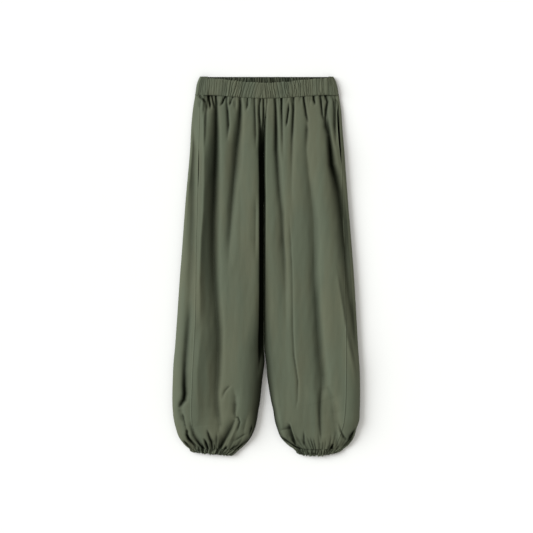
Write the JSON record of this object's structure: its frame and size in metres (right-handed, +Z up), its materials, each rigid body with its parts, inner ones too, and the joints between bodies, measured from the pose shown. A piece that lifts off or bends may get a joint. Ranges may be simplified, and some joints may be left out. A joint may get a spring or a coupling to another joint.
{
  "type": "flat-laid balloon trousers",
  "caption": "Wide balloon trousers laid flat with the front up, gathered waistband and ankles, in-seam side pockets.",
  "frame": {"origin": "centre of the garment's box on the surface that it lies on", "axes": "+X towards the wearer's left leg, +Y towards the waist, +Z up off the surface, out of the front"},
  "size_m": [0.488, 0.9872, 0.0354],
  "materials": {
    "poplin": "crisp olive cotton poplin, faint sheen",
    "waist_casing": "the same poplin, gathered on wide elastic",
    "ankle_casing": "the same poplin, gathered on narrow elastic",
    "pocket_cloth": "the same poplin, inside the pocket"
  },
  "bodies": {
    "root": {"front_right": "poplin", "front_left": "poplin", "back_right": "poplin", "back_left": "poplin", "waistband_front": "waist_casing", "waistband_back": "waist_casing", "cuff_right": "ankle_casing", "cuff_left": "ankle_casing", "pocket_facing_right": "pocket_cloth", "pocket_facing_left": "pocket_cloth"}
  },
  "joints": []
}
